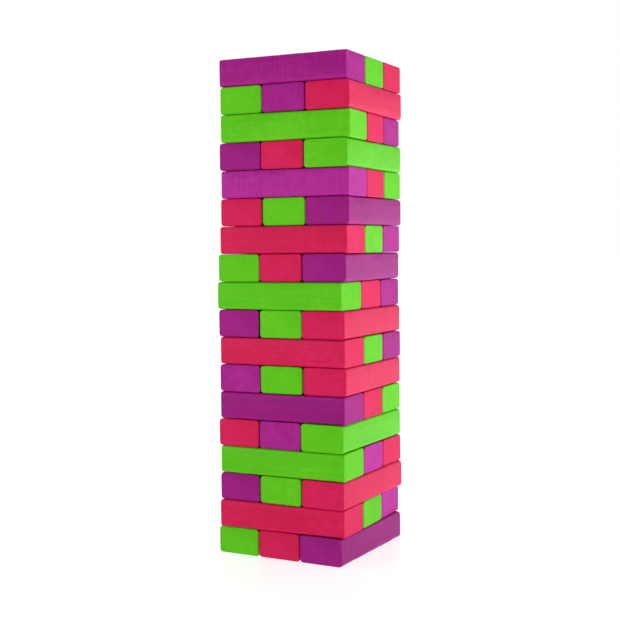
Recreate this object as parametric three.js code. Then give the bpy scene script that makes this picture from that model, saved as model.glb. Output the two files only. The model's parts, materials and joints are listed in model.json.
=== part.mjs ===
// Giant tumbling tower: eighteen layers of three stained wooden blocks, each layer laid
// crosswise on the one below. Millimetres, +Z up. The front of the tower faces -Y.
// The floor is at Z = 0 and the origin is under the middle of the tower's outer box.
import * as THREE from "three";

// ---- Driving dimensions ----
const TIMBER_LENGTH = 190.5; // 7.5 inches
const TIMBER_WIDTH = 63.5; // 2.5 inches: three side by side are about as wide as one is long
const LAYER_PITCH = 38.1; // 1.5 inches from one layer to the next
const SIDE_GAP = 1.1; // between two blocks of a layer, when they are evenly spaced
const SEAM_GAP = 0.6; // between one layer and the next, whose faces are not quite flat
const LONG_EDGE_RADIUS = 4; // the four long edges are rounded over
const END_EASING = 1.5; // the edges round each end are only just broken
const EDGE_STEPS = 4; // flats that make up each rounded long edge

const BLOCK_PITCH = TIMBER_WIDTH + SIDE_GAP;
const BLOCK_THICKNESS = LAYER_PITCH - SEAM_GAP;

// ---- Stains ----
const STAINS = {
  green: new THREE.MeshStandardMaterial({ color: 0x58c31c, roughness: 0.5, metalness: 0 }),
  purple: new THREE.MeshStandardMaterial({ color: 0xa01e82, roughness: 0.5, metalness: 0 }),
  pink: new THREE.MeshStandardMaterial({ color: 0xd72350, roughness: 0.5, metalness: 0 }),
};

// ---- The stack ----
// One row per layer, from the floor up, as the layer was set down by hand: its three stains,
// left to right or front to back; how far it sits to the right of and behind the tower's centre
// line, in millimetres; how far it is turned, in degrees; and how far its middle block leans
// towards its right or back neighbour, in millimetres.
const LAYERS = [
  { stains: ["green", "pink", "purple"], right: -4, behind: 0, turn: -2.5, nudge: -0.1 },
  { stains: ["pink", "green", "purple"], right: -4, behind: 0, turn: 0, nudge: 0.6 },
  { stains: ["purple", "green", "pink"], right: -1, behind: 0, turn: -2, nudge: -0.3 },
  { stains: ["green", "purple", "pink"], right: -1, behind: 0, turn: -1, nudge: -0.3 },
  { stains: ["pink", "purple", "green"], right: -2, behind: -1, turn: -1.5, nudge: 0.5 },
  { stains: ["purple", "pink", "green"], right: -1, behind: 0, turn: -0.5, nudge: -0.4 },
  { stains: ["purple", "green", "pink"], right: -1, behind: 0, turn: 0, nudge: -0.4 },
  { stains: ["pink", "green", "purple"], right: 0, behind: 0, turn: -0.5, nudge: -0.8 },
  { stains: ["purple", "green", "pink"], right: -1, behind: -1, turn: -0.5, nudge: 0.8 },
  { stains: ["green", "pink", "purple"], right: -2, behind: -2, turn: -1, nudge: -0.3 },
  { stains: ["green", "pink", "purple"], right: -1, behind: -1, turn: 0.5, nudge: -0.4 },
  { stains: ["pink", "green", "purple"], right: 1, behind: 0, turn: 1, nudge: -0.5 },
  { stains: ["pink", "green", "purple"], right: 2, behind: 2, turn: 1, nudge: 0.5 },
  { stains: ["purple", "pink", "green"], right: 3, behind: 1, turn: 1.5, nudge: -0.4 },
  { stains: ["purple", "pink", "green"], right: 2, behind: 1, turn: 0.5, nudge: -0.1 },
  { stains: ["green", "pink", "purple"], right: 3, behind: 0, turn: 2.5, nudge: 0.4 },
  { stains: ["green", "purple", "pink"], right: 4, behind: 1, turn: 1, nudge: -0.3 },
  { stains: ["purple", "green", "pink"], right: 3, behind: 1, turn: 0.5, nudge: -0.2 },
];
const LENGTHWISE_PLACES = ["left", "middle", "right"];
const CROSSWISE_PLACES = ["front", "middle", "back"];

// A rectangle with rounded corners, centred on the origin.
function roundedRectangle(width, height, radius) {
  const x = width / 2 - radius;
  const y = height / 2 - radius;
  const shape = new THREE.Shape();
  shape.absarc(x, -y, radius, -Math.PI / 2, 0);
  shape.absarc(x, y, radius, 0, Math.PI / 2);
  shape.absarc(-x, y, radius, Math.PI / 2, Math.PI);
  shape.absarc(-x, -y, radius, Math.PI, 1.5 * Math.PI);
  shape.closePath();
  return shape;
}

// One block, centred on the origin, with its length along Y.
function blockGeometry() {
  const section = roundedRectangle(TIMBER_WIDTH, BLOCK_THICKNESS, LONG_EDGE_RADIUS);
  const straight = TIMBER_LENGTH - 2 * END_EASING;
  const geometry = new THREE.ExtrudeGeometry(section, {
    depth: straight,
    curveSegments: EDGE_STEPS,
    bevelEnabled: true,
    bevelThickness: END_EASING,
    bevelSize: END_EASING,
    bevelOffset: -END_EASING,
    bevelSegments: 1,
  });
  geometry.translate(0, 0, -straight / 2);
  geometry.rotateX(Math.PI / 2);
  return geometry;
}

// Three blocks side by side. Odd layers run front to back, even layers run left to right.
function makeLayer(number, row, geometry) {
  const crosswise = number % 2 === 0;
  const places = crosswise ? CROSSWISE_PLACES : LENGTHWISE_PLACES;
  const label = "layer_" + String(number).padStart(2, "0");
  const layer = new THREE.Group();
  places.forEach((place, index) => {
    const block = new THREE.Mesh(geometry, STAINS[row.stains[index]]);
    const across = (index - 1) * BLOCK_PITCH;
    block.name = label + "_" + place + "_block";
    block.position.x = place === "middle" ? row.nudge : across;
    layer.add(block);
  });
  const quarterTurn = crosswise ? Math.PI / 2 : 0;
  layer.rotation.z = quarterTurn + THREE.MathUtils.degToRad(row.turn);
  layer.position.set(row.right, row.behind, (number - 1) * LAYER_PITCH + BLOCK_THICKNESS / 2);
  return layer;
}

// Moves the whole stack so that the origin is under the middle of its outer box.
function centreOnOrigin(stack) {
  const middle = new THREE.Box3().setFromObject(stack, true).getCenter(new THREE.Vector3());
  stack.position.x = -middle.x;
  stack.position.y = -middle.y;
}

function makeTower() {
  const geometry = blockGeometry();
  const stack = new THREE.Group();
  LAYERS.forEach((row, index) => stack.add(makeLayer(index + 1, row, geometry)));
  centreOnOrigin(stack);
  const tower = new THREE.Group();
  tower.add(stack);
  return tower;
}

const tower = makeTower();
tower.name = "giant_tumbling_tower";

export default tower;
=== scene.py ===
"""Looks of the giant tumbling tower: 54 stained wooden blocks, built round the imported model.

Every block is a loft of rounded sections with slightly worn edges, in the place of its CAD solid.
Its grain, growth rings, planer marks and stain are procedural, in the block's own coordinates.
"""
import json
import math
import random

import bpy
from mathutils import Matrix, Vector, noise


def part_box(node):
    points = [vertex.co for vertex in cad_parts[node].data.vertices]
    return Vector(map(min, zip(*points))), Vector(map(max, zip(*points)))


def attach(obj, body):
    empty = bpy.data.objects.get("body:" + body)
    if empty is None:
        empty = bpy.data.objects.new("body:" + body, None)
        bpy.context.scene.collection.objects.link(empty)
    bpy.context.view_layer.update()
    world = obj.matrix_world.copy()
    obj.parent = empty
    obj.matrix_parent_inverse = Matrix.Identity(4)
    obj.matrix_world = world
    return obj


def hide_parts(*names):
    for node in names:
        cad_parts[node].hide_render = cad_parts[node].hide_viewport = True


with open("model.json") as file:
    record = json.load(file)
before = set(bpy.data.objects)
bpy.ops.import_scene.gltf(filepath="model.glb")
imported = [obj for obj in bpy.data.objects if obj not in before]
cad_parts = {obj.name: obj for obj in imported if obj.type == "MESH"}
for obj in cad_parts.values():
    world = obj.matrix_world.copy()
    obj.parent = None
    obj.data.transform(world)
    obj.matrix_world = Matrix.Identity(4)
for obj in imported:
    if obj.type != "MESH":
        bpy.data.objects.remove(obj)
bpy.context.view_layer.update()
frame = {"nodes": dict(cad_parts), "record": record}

MM = 0.001
UP = Vector((0, 0, 1))
SEED = 54
WHITE = (1, 1, 1)
BLACK = (0, 0, 0)

# ---- Block sizes, the same as in the CAD model ----
BLOCK_LENGTH = 190.5 * MM
BLOCK_WIDTH = 63.5 * MM
BLOCK_THICKNESS = 37.5 * MM
LONG_EDGE_RADIUS = 4 * MM
END_EASING = 1.5 * MM

# ---- Mesh detail ----
CORNER_STEPS = 6  # flats round each long edge
EASING_STEPS = 3  # flats across the easing of each end
HOLD = 0.7 * MM  # a line of points this far in from a rounded edge keeps the face beside it flat
WIDE_FACE_STEPS = 4
NARROW_FACE_STEPS = 3
RING_SPACING = 6 * MM

# ---- Wear ----
EDGE_WEAR = 0.45 * MM  # about how far the rounded edges are worn back where handling shows most
COMMON_WEAR = 0.5  # the part of it that is worn off on average
WEAR_PATCH = 14 * MM  # the size of the more and the less worn places
WEAR_RANGE = 9  # metres, so far that no two blocks are worn alike
DENTS_PER_BLOCK = 5
DENT_RADIUS = 6 * MM
DENT_DEPTH = 0.5 * MM
SHALLOWEST_DENT = 0.4  # as a part of the full depth
DENT_STEEPNESS = 3

# ---- Where in the tree a block was sawn from, in millimetres from the tree's heart ----
HEART_ACROSS = 70
HEART_ALONG = 9000  # so far that two blocks hardly ever share a piece of grain
HEART_NEAREST = 25
HEART_FARTHEST = 80
HEART_ABOVE = 0.5  # how often the heart is above the block, and not below

# ---- Camera ----
IMAGE_WIDTH = 620
FOCAL_PIXELS = 1174
SENSOR_WIDTH = 36
CAMERA_AZIMUTH = 26.3
CAMERA_ELEVATION = 3.16
CAMERA_ROLL = -0.6
CAMERA_DISTANCE = 1.674
AIM_HEIGHT = 0.3379
AIM_SIDEWAYS = -0.0024
NEAREST_SEEN = 0.05
FARTHEST_SEEN = 100

# ---- Stains, as linear colours: in the dense grain, over most of the wood, and where thin ----
STAINS = {
    "green_stain": {
        "deep": (0.088, 0.500, 0.002),
        "main": (0.100, 0.560, 0.003),
        "thin": (0.165, 0.650, 0.014),
    },
    "purple_stain": {
        "deep": (0.275, 0.004, 0.168),
        "main": (0.350, 0.004, 0.210),
        "thin": (0.465, 0.020, 0.305),
    },
    "pink_stain": {
        "deep": (0.580, 0.005, 0.068),
        "main": (0.660, 0.006, 0.076),
        "thin": (0.760, 0.020, 0.130),
    },
}
STAIN_LEVELS = {"deep": 0.1, "main": 0.47, "thin": 0.9}  # 0 is the densest wood, 1 the lightest

# ---- How much lighter than its neighbours a block is, where that stands out: partly how it took the stain, partly painted shade on the bottom layer and a painted haze on a few low blocks on the right ----
TONE_AND_PAINTED_LIGHT_BY_BLOCK = {
    "layer_01_left_block": -0.3,
    "layer_01_middle_block": -0.6,
    "layer_01_right_block": -0.7,
    "layer_02_back_block": 0.9,
    "layer_03_left_block": -0.5,
    "layer_04_middle_block": 0.95,
    "layer_05_middle_block": 0.4,
    "layer_06_front_block": -0.4,
    "layer_07_left_block": 0.4,
    "layer_09_left_block": -0.3,
    "layer_11_right_block": -0.3,
    "layer_12_back_block": 0.4,
    "layer_13_right_block": -0.4,
    "layer_14_front_block": 0.9,
    "layer_15_left_block": -0.6,
    "layer_17_middle_block": 0.2,
    "layer_18_front_block": 0.1,
    "layer_18_back_block": -0.6,
}
COMMON_TONE = 0.12  # how far the other blocks stray, at most

# ---- How strongly the planer has marked a block across its length, where that stands out ----
PLANER_MARKS = {
    "layer_12_front_block": 0.5,
    "layer_14_front_block": 0.7,
    "layer_16_front_block": 0.5,
    "layer_18_front_block": 0.6,
}
COMMON_MARKS = 0.35  # the other blocks' marks, at most

# ---- Patterns in the wood: how fast each changes per millimetre across, along and up the block,
# then its detail and its roughness ----
FIBRE = ((1.1, 0.03, 1.1), 4.0, 0.6)  # on the sides
PORES = ((0.8, 0.8, 0.8), 4.0, 0.7)  # on the sawn ends
MOTTLE = ((0.16, 0.09, 0.16), 3.0, 0.6)
BLOTCH = ((0.03, 0.012, 0.03), 2.0, 0.5)
CHATTER = ((0.015, 0.62, 0.015), 1.0, 0.5)  # the planer's marks
RUB_AND_HIGHLIGHT = ((0.12, 0.05, 0.12), 3.0, 0.7)  # where the edges are rubbed thin and carry a painted highlight
WANDER = ((0.02, 0.004, 0.02), 2.0, 0.5)  # of the growth rings

# ---- Growth rings, in millimetres ----
RING_WIDTH = 4.2
RING_WANDER = 16.0
RING_UNEVENNESS = 14.0
YEARS_SCALE = 0.09  # how fast wide years turn into narrow ones, per millimetre
YEARS_DETAIL = 2.0
EARLY_WOOD = (0.45, (0.15, 0.15, 0.15))  # the part of a year, and how far it has hardened by then
LATE_WOOD = (0.85, WHITE)

# ---- How far along the stain's colours the wood is, and how far each pattern moves it ----
MIDDLE = 0.5  # of a noise pattern
BASE_LEVEL = 0.49
FINE_LEVEL = 0.35
MOTTLE_LEVEL = 0.7
BLOTCH_LEVEL = 0.6
RING_LEVEL = -0.1
MARKS_LEVEL = 1.0
TONE_LEVEL = 0.42
RUB_AND_HIGHLIGHT_STRENGTH = 0.5  # how far a rounded edge turns into the thin stain, at most: partly wear, partly a painted highlight

# ---- Relief, in millimetres, and gloss ----
FINE_RELIEF = 0.06
RING_RELIEF = 0.04
MARKS_RELIEF = 0.12
BUMP_STRENGTH = 0.6
SATIN_ROUGHNESS = 0.4
FINE_ROUGHNESS = 0.2
END_ROUGHNESS = 0.1
SPECULAR_LEVEL = 0.12

# ---- Floor ----
FLOOR_REACH = 30.0
FLOOR_DROP = 0.2 * MM
FLOOR_GREY = 0.35
FLOOR_ROUGHNESS = 0.35
SEEN_GLOW = 0.74  # at the tower, as the camera sees it
SEEN_GLOW_PER_METRE = 0.12
CAST_GLOW = 0.8  # at the tower, as it lights the blocks
CAST_GLOW_PER_METRE = 1.3  # towards the back and the right
LEAST_CAST_GLOW = 0.45
MOST_CAST_GLOW = 1.5

# ---- Backdrop and softboxes ----
BACKDROP_LIGHT = 0.55
BACKDROP_LIGHT_BEHIND = 0.3
SOFTBOX_AIM = Vector((0, 0, 0.34))
# Azimuth and elevation in degrees, distance and size in metres, power in watts, and colour.
SOFTBOXES = {
    "right_softbox": (88, -8, 1.3, 0.5, 3.9, (1, 0.9, 1)),
    "front_softbox": (-45, 5, 1.6, 1.2, 14, WHITE),
    "top_softbox": (0, 80, 2.2, 1.6, 4, WHITE),
    "back_softbox": (150, -2, 1.6, 1.2, 4, WHITE),
}


# ---------------------------------------------------------------- camera
def orbit(azimuth, elevation, distance):
    """A point at that distance from the origin; azimuth 0 is in front of the tower, at -Y."""
    turn = math.radians(azimuth)
    rise = math.radians(elevation)
    out = math.cos(rise)
    return distance * Vector((math.sin(turn) * out, -math.cos(turn) * out, math.sin(rise)))


def make_camera():
    data = bpy.data.cameras.new("camera")
    data.sensor_width = SENSOR_WIDTH
    data.lens = FOCAL_PIXELS / IMAGE_WIDTH * SENSOR_WIDTH
    data.clip_start = NEAREST_SEEN
    data.clip_end = FARTHEST_SEEN
    camera = bpy.data.objects.new("camera", data)
    azimuth = math.radians(CAMERA_AZIMUTH)
    sideways = Vector((math.cos(azimuth), math.sin(azimuth), 0))
    aim = AIM_SIDEWAYS * sideways + AIM_HEIGHT * UP
    camera.location = aim + orbit(CAMERA_AZIMUTH, CAMERA_ELEVATION, CAMERA_DISTANCE)
    looking = (aim - camera.location).to_track_quat("-Z", "Y")
    roll = Matrix.Rotation(math.radians(CAMERA_ROLL), 4, "Z")
    camera.rotation_euler = (looking.to_matrix().to_4x4() @ roll).to_euler()
    bpy.context.scene.collection.objects.link(camera)
    bpy.context.scene.camera = camera


# ---------------------------------------------------------------- block meshes
def spread(low, high, steps):
    """Points from low to high, with one close to each end that keeps the face between them flat."""
    inner_low = low + HOLD
    inner_high = high - HOLD
    between = [inner_low + (inner_high - inner_low) * k / steps for k in range(steps + 1)]
    return [low] + between + [high]


def section(inset):
    """The outline of the block's rounded section, pulled in by inset, as (across, up, rounded)
    points, with rounded 1 on a rounded edge and 0 on a flat face."""
    radius = LONG_EDGE_RADIUS - inset
    half_width = BLOCK_WIDTH / 2 - LONG_EDGE_RADIUS
    half_height = BLOCK_THICKNESS / 2 - LONG_EDGE_RADIUS
    across = spread(-half_width, half_width, WIDE_FACE_STEPS)[1:-1]
    upward = spread(-half_height, half_height, NARROW_FACE_STEPS)[1:-1]
    side = half_width + radius
    top = half_height + radius
    corners = (
        (half_width, -half_height, -90, [(side, z) for z in upward]),
        (half_width, half_height, 0, [(x, top) for x in reversed(across)]),
        (-half_width, half_height, 90, [(-side, z) for z in reversed(upward)]),
        (-half_width, -half_height, 180, [(x, -top) for x in across]),
    )
    points = []
    for x, z, start, flat in corners:
        for step in range(CORNER_STEPS + 1):
            angle = math.radians(start + 90 * step / CORNER_STEPS)
            points.append((x + radius * math.cos(angle), z + radius * math.sin(angle), 1))
        points += [(px, pz, 0) for px, pz in flat]
    return points


def rings():
    """Rings of points from one end of the block to the other, as (along, inset, end) with end 1 on
    the end face, falling to 0 at the foot of its easing."""
    half = BLOCK_LENGTH / 2
    first = [(-half, END_EASING + HOLD, 1)]
    for step in range(EASING_STEPS + 1):
        angle = math.radians(90 * step / EASING_STEPS)
        inset = END_EASING * (1 - math.sin(angle))
        along = -half + END_EASING * (1 - math.cos(angle))
        first.append((along, inset, 1 - step / EASING_STEPS))
    last = [(-along, inset, end) for along, inset, end in reversed(first)]
    straight = half - END_EASING
    steps = round(2 * straight / RING_SPACING)
    middle = [(along, 0, 0) for along in spread(-straight, straight, steps)[1:-1]]
    return first + middle + last


def ring_points(inset):
    """The section at a ring. On an end face, beyond the easing, it shrinks towards the middle."""
    shrink = max(0, inset - END_EASING)
    points = []
    for x, z, rounded in section(min(inset, END_EASING)):
        x -= math.copysign(min(shrink, abs(x)), x)
        z -= math.copysign(min(shrink, abs(z)), z)
        points.append((x, z, rounded))
    return points


def dents(rng):
    """A few places on the long edges where the block has been knocked, as (point, depth)."""
    places = []
    for _ in range(DENTS_PER_BLOCK):
        point = Vector((
            rng.choice((-1, 1)) * BLOCK_WIDTH / 2,
            rng.uniform(-1, 1) * BLOCK_LENGTH / 2,
            rng.choice((-1, 1)) * BLOCK_THICKNESS / 2,
        ))
        places.append((point, rng.uniform(SHALLOWEST_DENT, 1) * DENT_DEPTH))
    return places


def worn(point, on_edge, knocks, where):
    """The point, moved inwards by wear and dents if it is on a rounded edge. where is the block's
    own place in the pattern of wear."""
    if not on_edge:
        return point
    wear = EDGE_WEAR * max(0, COMMON_WEAR + noise.noise((point + where) / WEAR_PATCH))
    for centre, depth in knocks:
        apart = (point - centre).length / DENT_RADIUS
        wear += depth * math.exp(-(apart ** 2) * DENT_STEEPNESS)
    inwards = Vector((-point.x, 0, -point.z)).normalized()
    return point + on_edge * wear * inwards


def tube_faces(ring_count, ring_size):
    """The faces of a closed loft: two end caps and a band of quads between each two rings."""
    faces = [list(reversed(range(ring_size)))]
    for ring in range(ring_count - 1):
        low = ring * ring_size
        high = low + ring_size
        for k in range(ring_size):
            following = (k + 1) % ring_size
            faces.append([low + k, low + following, high + following, high + k])
    last = (ring_count - 1) * ring_size
    faces.append([last + k for k in range(ring_size)])
    return faces


def block_mesh(name, centre, along, rng):
    """The block's mesh in the row frame, with its grain coordinates, end mask and edge mask."""
    across = Vector((along.y, -along.x, 0))
    from_heart = Vector((
        rng.uniform(-HEART_ACROSS, HEART_ACROSS),
        rng.uniform(-HEART_ALONG, HEART_ALONG),
        rng.uniform(HEART_NEAREST, HEART_FARTHEST),
    ))
    if rng.random() < HEART_ABOVE:
        from_heart.z = -from_heart.z
    where = Vector([rng.uniform(-WEAR_RANGE, WEAR_RANGE) for _ in range(3)])
    knocks = dents(rng)
    places = []
    grain = []
    ends = []
    edges = []
    hoops = rings()
    for at, inset, end in hoops:
        for x, z, rounded in ring_points(inset):
            point = worn(Vector((x, at, z)), rounded * (1 - end), knocks, where)
            places.append(centre + point.x * across + point.y * along + point.z * UP)
            grain.append(point / MM + from_heart)
            ends.append(1.0 if end == 1 else 0.0)
            edges.append(1.0 if rounded or 0 < end < 1 else 0.0)
    mesh = bpy.data.meshes.new(name)
    mesh.from_pydata([tuple(p) for p in places], [], tube_faces(len(hoops), len(section(0))))
    mesh.validate()
    store(mesh, "grain", "FLOAT_VECTOR", [value for p in grain for value in p])
    store(mesh, "end", "FLOAT", ends)
    store(mesh, "edge", "FLOAT", edges)
    for polygon in mesh.polygons:
        polygon.use_smooth = True
    return mesh


def store(mesh, name, kind, values):
    """Keeps one value per point on the mesh, for the material to read."""
    attribute = mesh.attributes.new(name, kind, "POINT")
    attribute.data.foreach_set("vector" if kind == "FLOAT_VECTOR" else "value", values)


# ---------------------------------------------------------------- material
def add(tree, kind, inputs=(), **settings):
    """Adds a shader node. inputs are (socket name or number, value or output socket)."""
    node = tree.nodes.new(kind)
    for key, value in settings.items():
        setattr(node, key, value)
    for socket, value in inputs:
        if isinstance(value, bpy.types.NodeSocket):
            tree.links.new(value, node.inputs[socket])
        else:
            node.inputs[socket].default_value = value
    return node


def maths(tree, operation, a, b=0.0, c=0.0, clamp=False):
    node = add(tree, "ShaderNodeMath", ((0, a), (1, b), (2, c)), operation=operation)
    node.use_clamp = clamp
    return node.outputs[0]


def noise_at(tree, vector, pattern):
    """Noise from 0 to 1 round 0.5. The vector is first stretched by the pattern's scale."""
    scale, detail, roughness = pattern
    stretched = add(tree, "ShaderNodeVectorMath", ((0, vector), (1, scale)), operation="MULTIPLY")
    inputs = (
        ("Vector", stretched.outputs[0]),
        ("Scale", 1.0),
        ("Detail", detail),
        ("Roughness", roughness),
    )
    return add(tree, "ShaderNodeTexNoise", inputs).outputs["Fac"]


def ramp(tree, value, stops):
    """A colour ramp through stops, each (position, linear colour), from the lowest up."""
    node = add(tree, "ShaderNodeValToRGB", (("Fac", value),))
    elements = node.color_ramp.elements
    elements[0].position = stops[0][0]
    elements[1].position = stops[-1][0]
    for position, _ in stops[1:-1]:
        elements.new(position)
    for element, (_, colour) in zip(elements, stops):
        element.color = (*colour, 1)
    return node


def growth_rings(tree, grain):
    """The tree's growth rings: 0 in the soft early wood, rising to 1 at the hard late wood. Some
    years are wide and some are narrow, and the rings wander a little along the block."""
    warp = noise_at(tree, grain, WANDER)
    flat = add(tree, "ShaderNodeVectorMath", ((0, grain), (1, (1, 0, 1))), operation="MULTIPLY")
    length = add(tree, "ShaderNodeVectorMath", ((0, flat.outputs[0]),), operation="LENGTH")
    radius = maths(tree, "MULTIPLY_ADD", warp, RING_WANDER, length.outputs["Value"])
    years = add(
        tree,
        "ShaderNodeTexNoise",
        (("W", radius), ("Scale", YEARS_SCALE), ("Detail", YEARS_DETAIL)),
        noise_dimensions="1D",
    ).outputs["Fac"]
    uneven = maths(tree, "MULTIPLY_ADD", years, RING_UNEVENNESS, radius)
    part = maths(tree, "FRACT", maths(tree, "DIVIDE", uneven, RING_WIDTH))
    node = ramp(tree, part, ((0.0, BLACK), EARLY_WOOD, LATE_WOOD, (1.0, BLACK)))
    node.color_ramp.interpolation = "EASE"
    return node.outputs["Color"]


def stain_colour(tree, stain, fine, ring, marks, tone_and_painted_light, grain):
    """The stain, deeper or thinner with every pattern in the wood and with the block's own tone.
    That tone is partly the block's stain, and partly painted shade on the bottom layer and a
    painted haze on a few low blocks on the right.
    """
    level = BASE_LEVEL
    centred = (
        (fine, FINE_LEVEL),
        (noise_at(tree, grain, MOTTLE), MOTTLE_LEVEL),
        (noise_at(tree, grain, BLOTCH), BLOTCH_LEVEL),
    )
    for pattern, strength in centred:
        swing = maths(tree, "SUBTRACT", pattern, MIDDLE)
        level = maths(tree, "MULTIPLY_ADD", swing, strength, level)
    for pattern, strength in ((ring, RING_LEVEL), (marks, MARKS_LEVEL), (tone_and_painted_light, TONE_LEVEL)):
        level = maths(tree, "MULTIPLY_ADD", pattern, strength, level)
    stops = [(at, stain[depth]) for depth, at in STAIN_LEVELS.items()]
    return ramp(tree, level, stops).outputs["Color"]


def stained_wood(name, stain):
    """Satin stain over sawn and planed softwood, in the block's own grain coordinates."""
    material = bpy.data.materials.new(name)
    material.use_nodes = True
    tree = material.node_tree
    tree.nodes.clear()
    grain = add(tree, "ShaderNodeAttribute", attribute_name="grain").outputs["Vector"]
    end = add(tree, "ShaderNodeAttribute", attribute_name="end").outputs["Fac"]
    edge = add(tree, "ShaderNodeAttribute", attribute_name="edge").outputs["Fac"]
    tone_and_painted_light = add(tree, "ShaderNodeAttribute", attribute_name="tone_and_painted_light", attribute_type="OBJECT")
    planed = add(tree, "ShaderNodeAttribute", attribute_name="planed", attribute_type="OBJECT")

    ring = growth_rings(tree, grain)
    fibre = noise_at(tree, grain, FIBRE)
    pores = noise_at(tree, grain, PORES)
    grain_of_face = (("Factor", end), ("A", fibre), ("B", pores))
    fine = add(tree, "ShaderNodeMix", grain_of_face, data_type="FLOAT").outputs["Result"]
    side = maths(tree, "SUBTRACT", 1.0, end)
    planed_side = maths(tree, "MULTIPLY", planed.outputs["Fac"], side)
    chatter = maths(tree, "SUBTRACT", noise_at(tree, grain, CHATTER), MIDDLE)
    marks = maths(tree, "MULTIPLY", planed_side, chatter)

    stained = stain_colour(tree, stain, fine, ring, marks, tone_and_painted_light.outputs["Fac"], grain)
    # Paler rounded edges, in the thin stain: partly worn stain, partly a painted highlight along
    # the edges
    rub_and_highlight = maths(tree, "MULTIPLY", noise_at(tree, grain, RUB_AND_HIGHLIGHT), RUB_AND_HIGHLIGHT_STRENGTH)
    rubbed_and_highlit_edge = maths(tree, "MULTIPLY", edge, rub_and_highlight, clamp=True)
    # A Mix node's colours are its sockets 6 and 7, and its output 2.
    blend = (("Factor", rubbed_and_highlit_edge), (6, stained), (7, (*stain["thin"], 1)))
    colour = add(tree, "ShaderNodeMix", blend, data_type="RGBA").outputs[2]

    height = maths(tree, "MULTIPLY", ring, RING_RELIEF)
    height = maths(tree, "MULTIPLY_ADD", fine, FINE_RELIEF, height)
    height = maths(tree, "MULTIPLY_ADD", marks, MARKS_RELIEF, height)
    relief = (("Strength", BUMP_STRENGTH), ("Distance", MM), ("Height", height))
    bump = add(tree, "ShaderNodeBump", relief)
    roughness = maths(tree, "MULTIPLY_ADD", end, END_ROUGHNESS, SATIN_ROUGHNESS)
    roughness = maths(tree, "MULTIPLY_ADD", fine, FINE_ROUGHNESS, roughness)
    inputs = (
        ("Base Color", colour),
        ("Roughness", roughness),
        ("Specular IOR Level", SPECULAR_LEVEL),
        ("Normal", bump.outputs["Normal"]),
    )
    surface = add(tree, "ShaderNodeBsdfPrincipled", inputs)
    output = add(tree, "ShaderNodeOutputMaterial")
    tree.links.new(surface.outputs["BSDF"], output.inputs["Surface"])
    return material


# ---------------------------------------------------------------- the tower
def block_directions():
    """The direction along each block, from the joint it slides on. The block that holds the
    others has no joint, and runs the way its neighbours in the layer do."""
    along = {}
    for joint in frame["record"]["behaviour"]["joints"]:
        along[joint["child"]] = Vector(joint["axis"]).normalized()
    for node in frame["nodes"]:
        if node not in along:
            layer = node[: len("layer_00")]
            along[node] = next(along[other] for other in sorted(along) if other.startswith(layer))
    return along


def make_tower():
    slots = {part["node"]: part["material_slot"] for part in frame["record"]["subparts"]}
    materials = {slot: stained_wood(slot, stain) for slot, stain in STAINS.items()}
    directions = block_directions()
    for number, node in enumerate(sorted(frame["nodes"])):
        rng = random.Random(SEED + number)
        low, high = (Vector(corner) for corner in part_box(node))
        mesh = block_mesh(node + "_wood", (low + high) / 2, directions[node], rng)
        mesh.materials.append(materials[slots[node]])
        piece = bpy.data.objects.new(node + "_wood", mesh)
        # The block's tone: partly its stain, partly painted shade on the bottom layer and a painted
        # haze on a few low blocks on the right
        piece["tone_and_painted_light"] = TONE_AND_PAINTED_LIGHT_BY_BLOCK.get(node, rng.uniform(-1, 1) * COMMON_TONE)
        piece["planed"] = PLANER_MARKS.get(node, rng.uniform(0, 1) * COMMON_MARKS)
        bpy.context.scene.collection.objects.link(piece)
        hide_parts(node)
        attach(piece, node)


# ---------------------------------------------------------------- stage and light
def floor_glow(tree):
    """How brightly the floor shines. To the camera it shines a little, and more further off, so
    that it has no horizon. The tower sees it darker in front and on the left."""
    seen = add(tree, "ShaderNodeLightPath").outputs["Is Camera Ray"]
    place = add(tree, "ShaderNodeTexCoord").outputs["Object"]
    split = add(tree, "ShaderNodeSeparateXYZ", (("Vector", place),))
    beyond = maths(tree, "ADD", split.outputs["X"], split.outputs["Y"])
    cast = maths(tree, "MULTIPLY_ADD", beyond, CAST_GLOW_PER_METRE, CAST_GLOW)
    cast = maths(tree, "MINIMUM", maths(tree, "MAXIMUM", cast, LEAST_CAST_GLOW), MOST_CAST_GLOW)
    away = add(tree, "ShaderNodeVectorMath", ((0, place),), operation="LENGTH").outputs["Value"]
    glow = maths(tree, "MULTIPLY_ADD", away, SEEN_GLOW_PER_METRE, SEEN_GLOW, clamp=True)
    cast = maths(tree, "MULTIPLY", cast, maths(tree, "SUBTRACT", 1.0, seen))
    return maths(tree, "MULTIPLY_ADD", seen, glow, cast)


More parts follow.
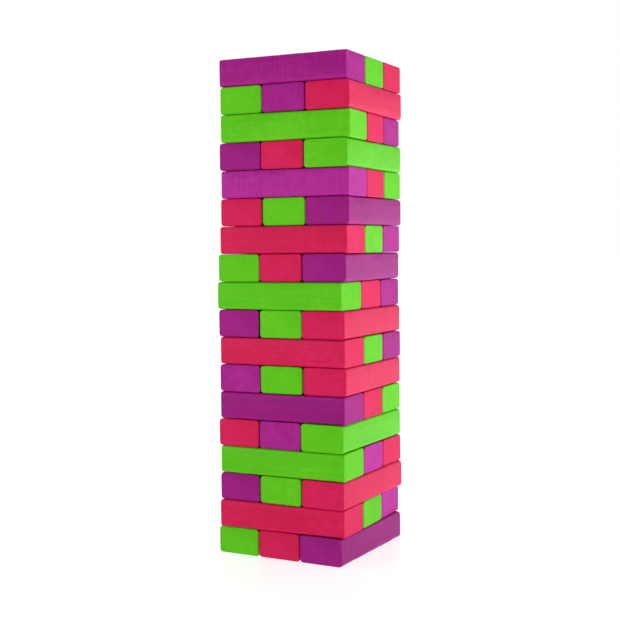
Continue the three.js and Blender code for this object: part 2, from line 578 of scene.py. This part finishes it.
def make_floor():
    """A pale floor that reaches past every view, just under the tower."""
    mesh = bpy.data.meshes.new("floor")
    far = FLOOR_REACH
    corners = [(-far, -far, 0), (far, -far, 0), (far, far, 0), (-far, far, 0)]
    mesh.from_pydata(corners, [], [(0, 1, 2, 3)])
    floor = bpy.data.objects.new("floor", mesh)
    floor.location.z = -FLOOR_DROP
    material = bpy.data.materials.new("white_floor")
    material.use_nodes = True
    tree = material.node_tree
    surface = tree.nodes["Principled BSDF"]
    surface.inputs["Base Color"].default_value = (FLOOR_GREY, FLOOR_GREY, FLOOR_GREY, 1)
    surface.inputs["Roughness"].default_value = FLOOR_ROUGHNESS
    surface.inputs["Emission Color"].default_value = (*WHITE, 1)
    tree.links.new(floor_glow(tree), surface.inputs["Emission Strength"])
    mesh.materials.append(material)
    bpy.context.scene.collection.objects.link(floor)


def make_backdrop():
    """A white world. The camera sees it plain white, and the tower sees it darker in front."""
    world = bpy.data.worlds.new("studio")
    bpy.context.scene.world = world
    world.use_nodes = True
    tree = world.node_tree
    tree.nodes.clear()
    seen = add(tree, "ShaderNodeLightPath").outputs["Is Camera Ray"]
    towards = add(tree, "ShaderNodeTexCoord").outputs["Generated"]
    behind = add(tree, "ShaderNodeSeparateXYZ", (("Vector", towards),)).outputs["Y"]
    cast = maths(tree, "MULTIPLY_ADD", behind, BACKDROP_LIGHT_BEHIND, BACKDROP_LIGHT)
    strength = maths(tree, "MAXIMUM", seen, cast)
    light = add(tree, "ShaderNodeBackground", (("Color", (*WHITE, 1)), ("Strength", strength)))
    output = add(tree, "ShaderNodeOutputWorld")
    tree.links.new(light.outputs["Background"], output.inputs["Surface"])


def make_softbox(name, azimuth, elevation, distance, size, watts, colour):
    data = bpy.data.lights.new(name, "AREA")
    data.shape = "SQUARE"
    data.size = size
    data.energy = watts
    data.color = colour
    light = bpy.data.objects.new(name, data)
    light.location = SOFTBOX_AIM + orbit(azimuth, elevation, distance)
    light.rotation_euler = (SOFTBOX_AIM - light.location).to_track_quat("-Z", "Y").to_euler()
    bpy.context.scene.collection.objects.link(light)


def make_light():
    make_backdrop()
    for name, setting in SOFTBOXES.items():
        make_softbox(name, *setting)
    view = bpy.context.scene.view_settings
    view.view_transform = "Standard"
    view.look = "None"


make_camera()
make_tower()
make_floor()
make_light()
